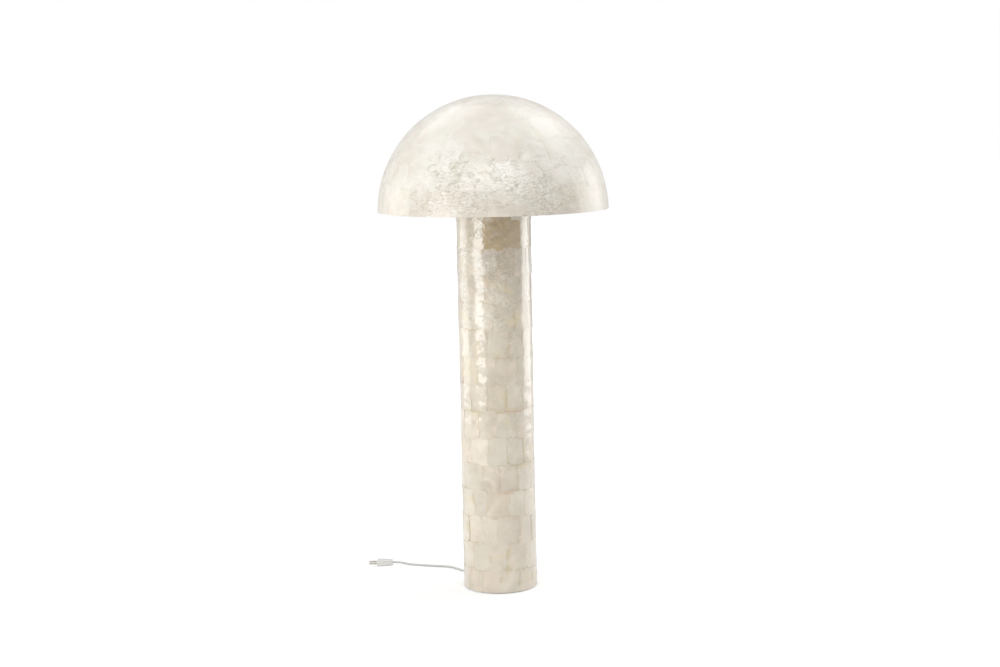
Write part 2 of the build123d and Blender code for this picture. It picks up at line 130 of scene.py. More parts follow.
# ------------------------------------------------------------------ cord
def coil_route():
    """Turns of a coil that winds in on the floor, climbs one layer in a half turn, and winds out on top.

    The radius falls by half a pitch each half turn to the middle of the winding, and then grows the
    same way.
    """
    half_turns = 2 * COIL_TURNS
    inner = COIL_RADIUS - COIL_PITCH * COIL_TURNS / 2 - COIL_INNER_STEP
    steps = np.arange(half_turns + 1)
    radii = np.where(steps < COIL_TURNS, COIL_RADIUS - steps * COIL_PITCH / 2, inner)
    outward = COIL_RADIUS - COIL_PITCH / 2 - (half_turns - steps) * COIL_PITCH / 2
    radii = np.where(steps > COIL_TURNS + 1, outward, radii)
    heights = np.where(steps <= COIL_TURNS, CORD_FLOOR, COIL_LAYER)
    count = COIL_TURNS * COIL_POINTS
    t = (np.arange(count) + 0.5) / count * half_turns
    angle = math.pi * (1 + t)
    radius = np.interp(t, steps, radii) / math.cos(math.pi / COIL_POINTS)
    height = np.interp(t, steps, heights)
    x = COIL_CENTRE[0] + radius * np.cos(angle)
    y = COIL_CENTRE[1] + radius * np.sin(angle)
    return np.column_stack((x, y, height)).tolist()


exit_dir = (math.cos(EXIT_ANGLE), math.sin(EXIT_ANGLE))
coil_in = COIL_CENTRE[0] - COIL_RADIUS
coil_out = coil_in + COIL_PITCH / 2
cord_exit = (BUSH_TIP * exit_dir[0], BUSH_TIP * exit_dir[1], EXIT_HEIGHT)
switch_run = [
    cord_exit,
    ((BUSH_TIP + BUSH_LEAD) * exit_dir[0], (BUSH_TIP + BUSH_LEAD) * exit_dir[1], EXIT_HEIGHT),
    (0.064, 0.1215, 0.007),
    (0.064, 0.136, 0.007),
]
coil_run = [
    (0.064, 0.196, 0.007),
    (0.064, 0.210, 0.007),
    (0.057, 0.225, 0.0032),
    (0.041, 0.236, CORD_FLOOR),
    (0.020, 0.2405, CORD_FLOOR),
    (-0.002, 0.236, CORD_FLOOR),
    (-0.019, 0.2225, CORD_FLOOR),
    (-0.029, 0.203, CORD_FLOOR),
    (coil_in, 0.181, CORD_FLOOR),
    (coil_in, COIL_CENTRE[1] + 2 * CORD_RADIUS, CORD_FLOOR),
]
plug_run = [
    (coil_out, COIL_CENTRE[1] - 2 * CORD_RADIUS, COIL_LAYER),
    (coil_out, 0.131, COIL_LAYER),
    (-0.0335, 0.1165, 0.0064),
    (-0.0435, 0.105, 0.0042),
    (-0.0585, 0.1003, 0.0029),
    (-0.0735, 0.104, CORD_FLOOR),
    (-0.0855, 0.115, CORD_FLOOR),
    (-0.0965, 0.129, CORD_FLOOR),
    (-0.1125, 0.1515, CORD_FLOOR),
    (-0.136, 0.1585, CORD_FLOOR),
    (-0.163, 0.1655, CORD_FLOOR),
    (-0.190, 0.1745, CORD_FLOOR),
    (-0.213, 0.183, CORD_FLOOR),
    (-0.235, 0.1875, 0.00685),
    (-0.250, 0.1875, 0.00685),
]


def cord_piece(name, route):
    """One round tube along a smooth curve with the route's points as its control points."""
    data = bpy.data.curves.new(name, "CURVE")
    data.dimensions = "3D"
    data.bevel_depth = 1.0
    data.bevel_resolution = 3
    data.use_fill_caps = True
    line = data.splines.new("NURBS")
    line.points.add(len(route) - 1)
    line.points.foreach_set("co", [value for point in route for value in (*point, 1)])
    line.points.foreach_set("radius", [CORD_RADIUS] * len(route))
    line.order_u = 3
    line.use_endpoint_u = True
    line.resolution_u = 5
    piece = bpy.data.objects.new(name, data)
    bpy.context.scene.collection.objects.link(piece)
    return piece


mains_cord = cord_piece("mains_cord", switch_run + coil_run + coil_route() + plug_run)
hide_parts("cord_to_switch", "cord_to_coil", "cord_coil", "cord_to_plug")
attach(mains_cord, "stand")


# ------------------------------------------------------------------ colours and shader parts
def paint(red, green, blue):
    """8-bit sRGB as linear RGBA."""
    parts = [value / 255 for value in (red, green, blue)]
    return (*[v / 12.92 if v <= 0.04045 else ((v + 0.055) / 1.055) ** 2.4 for v in parts], 1.0)


def add_node(tree, kind, inputs=None, **settings):
    """A shader node with its settings, and its inputs set or linked."""
    made = tree.nodes.new("ShaderNode" + kind)
    for key, value in settings.items():
        setattr(made, key, value)
    for socket, value in (inputs or {}).items():
        if isinstance(value, bpy.types.NodeSocket):
            tree.links.new(value, made.inputs[socket])
        else:
            made.inputs[socket].default_value = value
    return made


def mixed(tree, factor, first, second):
    """Two colours mixed by a factor."""
    inputs = {0: factor, 6: first, 7: second}
    return add_node(tree, "Mix", inputs, data_type="RGBA").outputs[2]


def ranged(tree, value, low, high, new_low, new_high):
    """A value moved from one range to another, and held inside it."""
    inputs = {"Value": value, "From Min": low, "From Max": high, "To Min": new_low, "To Max": new_high}
    return add_node(tree, "MapRange", inputs).outputs["Result"]


def calc(tree, operation, *values):
    """One step of arithmetic."""
    return add_node(tree, "Math", dict(enumerate(values)), operation=operation).outputs[0]


def noise(tree, place, scale, detail=3.0, roughness=0.5, distortion=0.0):
    """Cloudy noise between about 0.3 and 0.7."""
    inputs = {
        "Vector": place,
        "Scale": scale,
        "Detail": detail,
        "Roughness": roughness,
        "Distortion": distortion,
    }
    return add_node(tree, "TexNoise", inputs).outputs[0]


def bumped(tree, height, strength, depth, normal=None):
    """A normal tilted by a height, over another normal if there is one."""
    inputs = {"Strength": strength, "Distance": depth, "Height": height}
    if normal:
        inputs["Normal"] = normal
    return add_node(tree, "Bump", inputs).outputs[0]


def new_material(name):
    """An empty node material: its tree and its Principled shader, linked to the output."""
    material = bpy.data.materials.new(name)
    material.use_nodes = True
    tree = material.node_tree
    tree.nodes.clear()
    shader = add_node(tree, "BsdfPrincipled")
    add_node(tree, "OutputMaterial", {"Surface": shader.outputs[0]})
    return material, tree, shader


def object_coords(tree):
    """Object coordinates, in metres."""
    return add_node(tree, "TexCoord").outputs["Object"]


# ------------------------------------------------------------------ materials
# painted highlight: the white of pale flecks that stand in for glints off the crinkles
GLINT_WHITE = paint(250, 248, 243)
LOW_SHADE_HEIGHTS = (0.84, 0.905)     # painted shade: dulled darkens the shells fully below the first height, and not over the second


def nacre(
    name,
    tones,
    tints,
    stains_and_shade,
    brown,
    seam,
    coat,
    coat_roughness,
    roughness,
    swell,
    crinkle,
    body_crinkle,
    crinkled,
    front,
    low_front_shade,
    smudge_and_shade,
    crease_shade,
    painted_glints,
    stretched,
):
    """Windowpane shell: each leaf has its own tone, clouds and tints, stained edges and a crinkled sheen.

    The shell attribute holds each leaf's tone (red), hue (green) and share of brown (blue), which is
    partly the shell's own brown and partly painted shade. The rim attribute grows from 0 in a leaf's
    middle to 1 at its edge. The leaf UV map runs in metres over each leaf.

    The crinkles, the smudges (partly olive patches, partly painted shade), the painted shade in the
    creases and the painted glints of the pale flecks are full at the first height of crinkled, and a
    tenth as strong at the second. They are full in front of the first Y of front, and a quarter as
    strong behind the second, and so is dulled, painted shade that darkens the shells below
    LOW_SHADE_HEIGHTS. The crinkles are stretched times as long across as up, crinkle deep in the clear
    coat, and body_crinkle times that in the shell under it. swell is the depth of each leaf's soft
    waves.
    """
    material, tree, shader = new_material(name)
    place = object_coords(tree)
    leaf = add_node(tree, "UVMap", uv_map="leaf").outputs["UV"]
    marks = add_node(tree, "Attribute", attribute_name="shell")
    own_tone, own_hue, own_brown_and_shade = add_node(tree, "SeparateColor", {0: marks.outputs["Color"]}).outputs
    rim = add_node(tree, "Attribute", attribute_name="rim").outputs["Fac"]

    # where the shells are crinkled, and where painted shade darkens them low at the front
    axes = add_node(tree, "SeparateXYZ", {0: place}).outputs
    ahead = ranged(tree, axes["Y"], front[0], front[1], 1.0, 0.25)
    low = calc(tree, "MULTIPLY", ranged(tree, axes["Z"], crinkled[0], crinkled[1], 1.0, 0.1), ahead)
    low_front_shading = calc(tree, "MULTIPLY", ranged(tree, axes["Z"], *LOW_SHADE_HEIGHTS, low_front_shade, 0.0), ahead)

    # tone: the leaf's own, clouds on the leaf, and drifts over the whole piece, less the painted shade of
    # dull
    clouds = noise(tree, leaf, 24.0, 3.0, 0.5, 0.8)
    drifts = noise(tree, place, 11.0, 2.0)
    tone = calc(tree, "ADD", own_tone, ranged(tree, clouds, 0.32, 0.68, -0.25, 0.25))
    tone = calc(tree, "ADD", tone, ranged(tree, drifts, 0.35, 0.65, -0.25, 0.25))
    tone = calc(tree, "SUBTRACT", tone, low_front_shading)
    body = mixed(tree, ranged(tree, tone, 0.0, 1.0, 0.0, 1.0), tones[0], tones[1])

    # hue: pink, green and honey tints, brown leaves that are partly painted shade, and smudges that are
    # partly painted shade
    veils = noise(tree, leaf, 22.0, 3.0, 0.5, 1.2)
    hue = calc(tree, "ADD", own_hue, ranged(tree, veils, 0.32, 0.68, -0.5, 0.5))
    body = mixed(tree, ranged(tree, hue, 0.55, 1.2, 0.0, 0.65), body, tints[0])
    body = mixed(tree, ranged(tree, hue, 0.45, -0.2, 0.0, 0.65), body, tints[1])
    honey = noise(tree, place, 19.0, 3.0, 0.5, 0.8)
    body = mixed(tree, ranged(tree, honey, 0.58, 0.72, 0.0, 0.5), body, tints[2])
    # brown leaves: partly the shells' own brown, partly painted shade under the rim
    brown_and_shade_mix = calc(tree, "MULTIPLY", own_brown_and_shade, ranged(tree, veils, 0.35, 0.62, 1.0, 0.65))
    body = mixed(tree, brown_and_shade_mix, body, brown)
    # smudges: partly olive patches in the shell, partly painted shade darkening the low front
    smudge_and_shading = ranged(tree, noise(tree, place, 42.0, 4.0, 0.6, 1.0), 0.54, 0.66, 0.0, smudge_and_shade)
    body = mixed(tree, calc(tree, "MULTIPLY", smudge_and_shading, low), body, stains_and_shade[1])

    # stained edges, thin lines in some places and a soft soak in others, and a few brown specks
    stain = mixed(tree, ranged(tree, drifts, 0.45, 0.55, 0.0, 1.0), stains_and_shade[0], stains_and_shade[1])
    runs = ranged(tree, noise(tree, place, 24.0, 2.0), 0.5, 0.62, 0.0, 1.0)
    edge = calc(tree, "MULTIPLY", ranged(tree, rim, 0.9, 0.99, 0.0, seam), runs)
    body = mixed(tree, edge, body, stain)
    soak = ranged(tree, rim, 0.6, 1.0, 0.0, seam * 0.6)
    soak = calc(tree, "MULTIPLY", soak, ranged(tree, honey, 0.5, 0.6, 0.0, 1.0))
    body = mixed(tree, soak, body, stain)
    spots = add_node(tree, "TexVoronoi", {"Vector": leaf, "Scale": 60.0, "Randomness": 1.0}).outputs
    lot = calc(tree, "FRACT", calc(tree, "MULTIPLY", spots["Color"], 7.0))
    chosen = calc(tree, "GREATER_THAN", lot, 0.96)
    speck = ranged(tree, spots["Distance"], 0.05, 0.09, 0.8, 0.0)
    body = mixed(tree, calc(tree, "MULTIPLY", speck, chosen), body, brown)

    # crinkles: painted shade in creases along the folds, painted glints in pale flecks, and facets that
    # break up the sheen
    level = add_node(tree, "Mapping", {"Vector": place, "Scale": (1.0, 1.0, stretched)}).outputs[0]
    folds = calc(tree, "SUBTRACT", noise(tree, level, 34.0, 5.0, 0.62, 0.4), 0.5)
    folds = calc(tree, "ABSOLUTE", folds)
    grit = noise(tree, level, 120.0, 3.0, 0.6, 0.5)
    patchy = ranged(tree, noise(tree, place, 13.0, 2.0), 0.38, 0.56, 0.12, 1.0)
    shown = calc(tree, "MULTIPLY", patchy, low)
    # painted shade in the creases along the folds
    crease_shading = calc(tree, "MULTIPLY", ranged(tree, folds, 0.005, 0.035, crease_shade, 0.0), shown)
    body = mixed(tree, crease_shading, body, stains_and_shade[2])
    # painted glints: pale flecks where the crinkles would catch the light
    glint_fleck = calc(tree, "MULTIPLY", ranged(tree, grit, 0.54, 0.62, 0.0, painted_glints), shown)
    glint_fleck = calc(tree, "MULTIPLY", glint_fleck, ranged(tree, own_brown_and_shade, 0.0, 1.0, 1.0, 0.2))
    body = mixed(tree, glint_fleck, body, GLINT_WHITE)
    tree.links.new(body, shader.inputs["Base Color"])
    facets = calc(tree, "SUBTRACT", noise(tree, level, 50.0, 1.5, 0.5, 0.6), 0.5)
    facets = calc(tree, "ABSOLUTE", facets)
    relief = calc(tree, "MULTIPLY_ADD", grit, 0.25, calc(tree, "MULTIPLY", facets, 2.0))
    relief = calc(tree, "MULTIPLY", relief, shown)
    waved = bumped(tree, noise(tree, leaf, 40.0, 1.0), 1.0, swell)
    tree.links.new(bumped(tree, relief, 1.0, crinkle * body_crinkle, waved), shader.inputs["Normal"])
    tree.links.new(bumped(tree, relief, 1.0, crinkle, waved), shader.inputs["Coat Normal"])
    rough = ranged(tree, clouds, 0.3, 0.7, roughness, roughness + 0.12)
    tree.links.new(rough, shader.inputs["Roughness"])
    shader.inputs["IOR"].default_value = 1.6
    shader.inputs["Coat IOR"].default_value = 1.6
    shader.inputs["Coat Weight"].default_value = coat
    shader.inputs["Coat Roughness"].default_value = coat_roughness
    return material


def speckled(name, colour, spread, roughness, scale, bump=0.05, metallic=0.0):
    """A plain finish with fine mottling of its tone, its roughness and its surface."""
    material, tree, shader = new_material(name)
    place = object_coords(tree)
    broad = noise(tree, place, scale, 4.0)
    fine = noise(tree, place, scale * 9, 5.0, 0.6)
    darker = tuple(value * (1 - spread) for value in colour[:3]) + (1.0,)
    tone = mixed(tree, ranged(tree, broad, 0.3, 0.7, 0.0, 1.0), darker, colour)
    tree.links.new(tone, shader.inputs["Base Color"])
    rough = ranged(tree, fine, 0.3, 0.7, roughness * 0.8, roughness * 1.2)
    tree.links.new(rough, shader.inputs["Roughness"])
    tree.links.new(bumped(tree, fine, bump, 0.0004), shader.inputs["Normal"])
    shader.inputs["Metallic"].default_value = metallic
    return material


def brushed(name, colour, roughness, stretch):
    """Metal drawn or turned along one direction: noise stretched by the three factors."""
    material, tree, shader = new_material(name)
    place = add_node(tree, "Mapping", {"Vector": object_coords(tree), "Scale": stretch}).outputs[0]
    lines = noise(tree, place, 1.0, 6.0, 0.7)
    darker = tuple(value * 0.82 for value in colour[:3]) + (1.0,)
    tree.links.new(mixed(tree, lines, darker, colour), shader.inputs["Base Color"])
    rough = ranged(tree, lines, 0.3, 0.7, roughness * 0.75, roughness * 1.3)
    tree.links.new(rough, shader.inputs["Roughness"])
    tree.links.new(bumped(tree, lines, 0.12, 0.0002), shader.inputs["Normal"])
    shader.inputs["Metallic"].default_value = 1.0
    return material


column_nacre = nacre(
    "column_nacre",
    tones=(paint(203, 192, 172), paint(235, 225, 207)),
    tints=(paint(236, 218, 200), paint(219, 213, 195), paint(226, 211, 168)),
    stains_and_shade=(paint(200, 164, 122), paint(186, 172, 122), paint(150, 142, 128)),
    brown=paint(186, 158, 108),
    seam=0.7,
    coat=1.0,
    coat_roughness=0.06,
    roughness=0.3,
    swell=0.0014,
    crinkle=0.0014,
    body_crinkle=0.2,
    crinkled=(0.76, 0.5),
    front=(0.2, 0.3),
    low_front_shade=0.0,
    smudge_and_shade=0.15,
    crease_shade=0.5,
    painted_glints=0.65,
    stretched=1.2,
)
dome_nacre = nacre(
    "dome_nacre",
    tones=(paint(218, 209, 194), paint(243, 239, 230)),
    tints=(paint(241, 229, 219), paint(231, 230, 217), paint(234, 228, 208)),
    stains_and_shade=(paint(208, 194, 168), paint(184, 176, 154), paint(166, 156, 138)),
    brown=paint(196, 180, 150),
    seam=0.3,
    coat=0.45,
    coat_roughness=0.18,
    roughness=0.4,
    swell=0.0014,
    crinkle=0.0008,
    body_crinkle=0.9,
    crinkled=(0.93, 0.985),
    front=(-0.22, -0.165),
    low_front_shade=1.2,
    smudge_and_shade=0.8,
    crease_shade=0.5,
    painted_glints=0.7,
    stretched=3.0,
)
shell_glue = speckled("shell_glue", paint(214, 202, 176), 0.25, 0.45, 45.0, bump=0.25)
resin = speckled("shade_resin", paint(232, 227, 216), 0.08, 0.4, 30.0, bump=0.2)
white_lacquer = speckled("white_lacquer", paint(218, 217, 212), 0.05, 0.35, 40.0)
zinc = brushed("zinc_plate", paint(196, 197, 196), 0.32, (900, 900, 60))
iron = speckled("cast_iron", paint(52, 51, 50), 0.4, 0.6, 90.0, bump=0.5)
felt = speckled("grey_felt", paint(196, 192, 182), 0.25, 0.9, 300.0, bump=0.8)
soft_rubber = speckled("soft_rubber", paint(205, 203, 196), 0.12, 0.6, 120.0, bump=0.15)
holder_white = speckled("holder_white", paint(226, 225, 220), 0.05, 0.38, 80.0)
brass = brushed("contact_brass", paint(202, 166, 92), 0.28, (300, 300, 2000))
opal = speckled("opal_bulb", paint(242, 241, 236), 0.02, 0.3, 20.0, bump=0.02)
bulb_metal = brushed("bulb_metal", paint(190, 190, 188), 0.25, (200, 200, 2500))
cord_sheath = speckled("cord_sheath", paint(205, 205, 202), 0.06, 0.42, 150.0, bump=0.08)
white_plastic = speckled("white_plastic", paint(228, 228, 224), 0.04, 0.33, 120.0, bump=0.12)
button_plastic = speckled("button_plastic", paint(206, 206, 202), 0.05, 0.35, 150.0, bump=0.12)
pin_metal = brushed("pin_metal", paint(206, 202, 190), 0.2, (60, 900, 900))
core_board = speckled("core_board", paint(190, 176, 140), 0.2, 0.8, 80.0, bump=0.3)

mains_cord.data.materials.append(cord_sheath)
finishes = {
    "shade_shell": dome_nacre,
    "column_shell": column_nacre,
    "white_ring": resin,
    "column_core": core_board,
    "plated_steel": zinc,
    "white_metal": white_lacquer,
    "iron": iron,
    "felt": felt,
    "pad_rubber": soft_rubber,
    "holder_plastic": holder_white,
    "holder_ceramic": holder_white,
    "contact_brass": brass,
    "bulb_diffuser": opal,
    "bulb_metal": bulb_metal,
    "cord_sheath": cord_sheath,
    "white_plastic": white_plastic,
    "button_plastic": button_plastic,
    "pin_metal": pin_metal,
}
for part in frame["record"]["subparts"]:
    mesh = nodes[part["node"]].data
    mesh.materials.clear()
    mesh.materials.append(finishes[part["material_slot"]])


# ------------------------------------------------------------------ mesh helpers
def grid_quads(rows, columns):
    """Quads of a rows x columns grid of vertices, numbered row by row."""
    corner = (np.arange(rows - 1)[:, None] * columns + np.arange(columns - 1)).reshape(-1)
    return np.column_stack((corner, corner + 1, corner + columns + 1, corner + columns))


def mesh_piece(name, vertices, faces, material, body, sharp=40):
    """A named mesh object that rides on a body, shaded smooth up to an angle in degrees."""
    mesh = bpy.data.meshes.new(name)
    mesh.from_pydata(vertices.reshape(-1, 3), [], [face for group in faces for face in group.tolist()])
    mesh.materials.append(material)
    mesh.polygons.foreach_set("use_smooth", [True] * len(mesh.polygons))
    mesh.set_sharp_from_angle(angle=math.radians(sharp))
    piece = bpy.data.objects.new(name, mesh)
    bpy.context.scene.collection.objects.link(piece)
    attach(piece, body)
    return piece


def turned_piece(name, radius, height, material, body):
    """A closed outline of radius and height carried round the Z axis in equal steps."""
    step = np.arange(ROUND_STEPS)[:, None]
    angle = step * 2 * math.pi / ROUND_STEPS
    x = radius * np.cos(angle)
    y = radius * np.sin(angle)
    z = np.broadcast_to(height, x.shape)
    rows = step * len(radius)
    next_rows = (step + 1) % ROUND_STEPS * len(radius)
    place = np.arange(len(radius))
    ahead = (place + 1) % len(radius)
    quads = np.stack((rows + place, next_rows + place, next_rows + ahead, rows + ahead), -1)
    return mesh_piece(name, np.stack((x, y, z), -1), [quads.reshape(-1, 4)], material, body)


# ------------------------------------------------------------------ shell leaves
def leaf_faces(size):
    """Faces of one closed leaf: its face grid, a skirt round it, and a fan under it; and the grid's rim.

    Vertices are the size x size grid, then the skirt's lower ring, then one point under the middle.
    """
    top = grid_quads(size, size)
    low, high = 0, size - 1
    ring = [(low, c) for c in range(size - 1)] + [(r, high) for r in range(size - 1)]
    ring += [(high, c) for c in range(size - 1, 0, -1)] + [(r, low) for r in range(size - 1, 0, -1)]
    upper = np.array([row * size + column for row, column in ring])
    lower = size * size + np.arange(len(ring))
    skirt = np.column_stack((upper, lower, np.roll(lower, -1), np.roll(upper, -1)))
    middle = np.full(len(ring), size * size + len(ring))
    fan = np.column_stack((lower, middle, np.roll(lower, -1)))
    return top, skirt, fan, upper


def new_leaf(
    random, centre, half, marks, outline, turn, layer, rock, flat, ripple, waves, lip, limit, disc=False
):
    """One shell and its chance differences.

    marks are its tone, hue and brownness. outline is how much its corners are drawn in and how much its
    sides swell and lean. turn is its own turn in its place. layer, rock and ripple are how high it lies,
    how far its edges tip and how deep its three waves are; waves are their shortest and longest lengths.
    flat is the most that its edges stand out because it follows the curve less than fully. lip is how
    far its very edge turns down, and limit is the most that it leaves the mean surface.
    """
    heading = random.uniform(0, 2 * math.pi, 3)
    wave_number = 2 * math.pi / random.uniform(*waves, 3)
    return {
        "centre": centre,
        "half": half,
        "marks": marks,
        "corner": random.uniform(0.3, 1.0, 2) * outline[0],
        "belly": random.normal(0, 1, 2) * outline[1],
        "lean": random.normal(0, 1, 2) * outline[1],
        "turn": random.normal(0, 1) * turn,
        "layer": random.uniform(-1, 1) * layer,
        "rock": random.normal(0, 1, 2) * rock,
        "flat": random.uniform(0, 1) * flat,
        "ripple": random.uniform(0.3, 1.0, 3) * ripple,
        "wave_x": wave_number * np.cos(heading),
        "wave_y": wave_number * np.sin(heading),
        "phase": random.uniform(0, 2 * math.pi, 3),
        "lip": lip,
        "limit": limit,
        "grain": random.uniform(0, 2 * math.pi),
        "offset": random.uniform(0, 4, 2),
        "disc": disc,
    }


def leaf_plan(leaf, u, v):
    """Metres along a leaf's face for u and v from -1 to 1.

    The corners are drawn in by the eighth power of the other coordinate, the sides swell by one less its
    square, and the edges lean. A round leaf has each coordinate drawn in by the root of one less half
    the other's square, which turns the square into a disc.
    """
    if leaf["disc"]:
        s = u * np.sqrt(1 - v**2 / 2)
        t = v * np.sqrt(1 - u**2 / 2)
    else:
        s = u * (1 - leaf["corner"][0] * v**8 + leaf["belly"][0] * (1 - v**2)) + leaf["lean"][0] * v
        t = v * (1 - leaf["corner"][1] * u**8 + leaf["belly"][1] * (1 - u**2)) + leaf["lean"][1] * u
    x = s * leaf["half"][0]
    y = t * leaf["half"][1]
    cosine, sine = math.cos(leaf["turn"]), math.sin(leaf["turn"])
    return x * cosine - y * sine, x * sine + y * cosine


def leaf_lift(leaf, u, v, x, y):
    """Height over the mean surface: a layer, a tilt, a flatness and three sine waves, less a lip.

    The flatness goes with the square of u, and the lip with the twelfth power of the distance from the
    middle. A hyperbolic tangent holds the sum inside the leaf's limit.
    """
    lift = leaf["layer"] + leaf["rock"][0] * u + leaf["rock"][1] * v + leaf["flat"] * (u**2 - 1 / 3)
    waves = zip(leaf["ripple"], leaf["wave_x"], leaf["wave_y"], leaf["phase"])
    for depth, wave_x, wave_y, phase in waves:
        lift = lift + depth * np.sin(wave_x * x + wave_y * y + phase)
    lift = lift - leaf["lip"] * np.maximum(abs(u), abs(v)) ** 12
    return leaf["limit"] * np.tanh(lift / leaf["limit"])


def leaves_piece(name, leaves, place, bed, material, body):
    """Many closed shell leaves as one mesh, with their tones, rim distance and a UV map in metres.

    place(leaf, x, y, lift) gives the points. u and v are sines of even steps, so they lie closer
    together near the edges.
    """
    size = LEAF_POINTS
    step = np.sin(np.linspace(-1, 1, size) * math.pi / 2)
    u, v = np.meshgrid(step, step)
    top, skirt, fan, rim_index = leaf_faces(size)
    reach = np.maximum(abs(u), abs(v)).reshape(-1)
    edge = np.concatenate((reach, np.ones(len(rim_index) + 1)))
    points, marks, coords = [], [], []
    for leaf in leaves:
        x, y = leaf_plan(leaf, u, v)
        face = place(leaf, x, y, leaf_lift(leaf, u, v, x, y)).reshape(-1, 3)
        foot = place(leaf, x, y, np.full_like(x, bed)).reshape(-1, 3)[rim_index]
        points.append(np.vstack((face, foot, foot.mean(0))))
        marks.append(np.broadcast_to((*leaf["marks"], 1.0), (len(edge), 4)))
        cosine, sine = math.cos(leaf["grain"]), math.sin(leaf["grain"])
        turned = np.array([[cosine, -sine], [sine, cosine]])
        flat = np.column_stack((x.reshape(-1), y.reshape(-1))) @ turned + leaf["offset"]
        coords.append(np.vstack((flat, flat[rim_index], flat[rim_index].mean(0))))
    start = (np.arange(len(leaves)) * len(edge))[:, None, None]
    faces = [(group[None] + start).reshape(-1, group.shape[1]) for group in (top, skirt, fan)]
    piece = mesh_piece(name, np.array(points), faces, material, body, sharp=50)
    mesh = piece.data
    shell = mesh.attributes.new("shell", "FLOAT_COLOR", "POINT")
    shell.data.foreach_set("color", np.array(marks).reshape(-1))
    rim = mesh.attributes.new("rim", "FLOAT", "POINT")
    rim.data.foreach_set("value", np.tile(edge, len(leaves)))
    corners = np.zeros(len(mesh.loops), np.int32)
    mesh.loops.foreach_get("vertex_index", corners)
    mesh.uv_layers.new(name="leaf").data.foreach_set("uv", np.vstack(coords)[corners].reshape(-1))
    return piece


# ------------------------------------------------------------------ column
# brown shells under the shade's rim at the front: partly their own brown, partly painted shade of the
# shade above
BROWN_AND_SHADED_SHELLS = {                      # (course from the foot, degrees right of the front): brown and painted shade
    (13, 0): 0.95,
    (13, 30): 0.85,
    (13, -30): 0.25,
    (14, 15): 0.9,
    (14, -15): 0.7,
    (12, 15): 0.25,
    (7, 0): 0.12,
    (3, 0): 0.2,
}
# painted light and shade: the column's tone by height stands in for how the light falls, paler at the
# foot and darkest around the middle
TONE_HEIGHTS = [0.1, 0.35, 0.5, 0.65, 0.8]
LIT_AND_SHADED_TONES = [0.68, 0.5, 0.08, 0.15, 0.62]       # mean tone of the shells at those heights, 0 dark, 1 pale, as painted light and shade
TONE_SPREAD = 0.15


def column_leaves(random):
    """Courses of shells round the column that break joint like bricks.

    In every other course, a shell has its middle at the front.
    """
    heights = [BOTTOM_COURSE] + [COURSE_HEIGHT] * FULL_COURSES + [TOP_COURSE]
    pitch = 2 * math.pi / SHELLS_ROUND
    base = COLUMN_BASE
    leaves = []
    for number, height in enumerate(heights):
        offset = 0.5 * ((number + 1) % 2)
        places = np.arange(SHELLS_ROUND) + offset
        seams = places - 0.5 + random.normal(0, SEAM_DRIFT, SHELLS_ROUND)
        ends = np.append(seams[1:], seams[0] + SHELLS_ROUND)
        for place, start, end in zip(places, seams, ends):
            half = ((end - start) * pitch * COLUMN_FACE + SHELL_LAP) / 2, (height + SHELL_LAP) / 2
            centre = -math.pi / 2 + (start + end) / 2 * pitch, base + height / 2
            from_front = round((place * 360 / SHELLS_ROUND + 180) % 360 - 180)
            tone = random.normal(np.interp(centre[1], TONE_HEIGHTS, LIT_AND_SHADED_TONES), TONE_SPREAD)
            # brown under the rim, partly painted shade
            brown_and_shade = BROWN_AND_SHADED_SHELLS.get((number, from_front), 0.0)
            marks = np.clip(tone, 0, 1), random.uniform(0.25, 0.8), brown_and_shade
            leaf = new_leaf(
                random,
                centre,
                half,
                marks,
                outline=(0.2, 0.025),
                turn=0.035,
                layer=0.0003,
                rock=0.0004,
                flat=0.0008,
                ripple=0.00022,
                waves=(0.018, 0.055),
                lip=0.00012,
                limit=COLUMN_PLAY,
            )
            leaves.append(leaf)
        base += height
    return leaves


def on_column(leaf, x, y, lift):
    """Distances along the face wrapped round the column's axis, lifted from its mean radius."""
    angle = leaf["centre"][0] + x / COLUMN_FACE
    radius = COLUMN_FACE + lift
    height = np.maximum(leaf["centre"][1] + y, COLUMN_BASE)
    return np.stack((radius * np.cos(angle), radius * np.sin(angle), height), -1)


random = np.random.default_rng(7)
cladding = leaves_piece(
    "column_cladding",
    column_leaves(random),
    on_column,
    COLUMN_BED - COLUMN_FACE - LEAF_ROOT,
    column_nacre,
    "stand",
)
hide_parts("column_shells")
column_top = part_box("column_tube")[1].z
bed_inside = COLUMN_BED - GLUE_THICKNESS
bed_radius = np.array([bed_inside, COLUMN_BED, COLUMN_BED, bed_inside])
bed_height = np.array([COLUMN_BASE, COLUMN_BASE, column_top, column_top])
turned_piece("shell_bedding", bed_radius, bed_height, shell_glue, "stand")


# ------------------------------------------------------------------ shade
SHADED_RIM_TONE = 0.62                  # lowest course's mean tone, 0 dark, 1 pale, darker as painted shade
DOME_TONE = 0.78                 # and of the others
DOME_TONE_SPREAD = 0.08
CROWN_MARKS = (0.75, 0.5, 0.0)   # tone, hue and share of brown and painted shade of the round shell


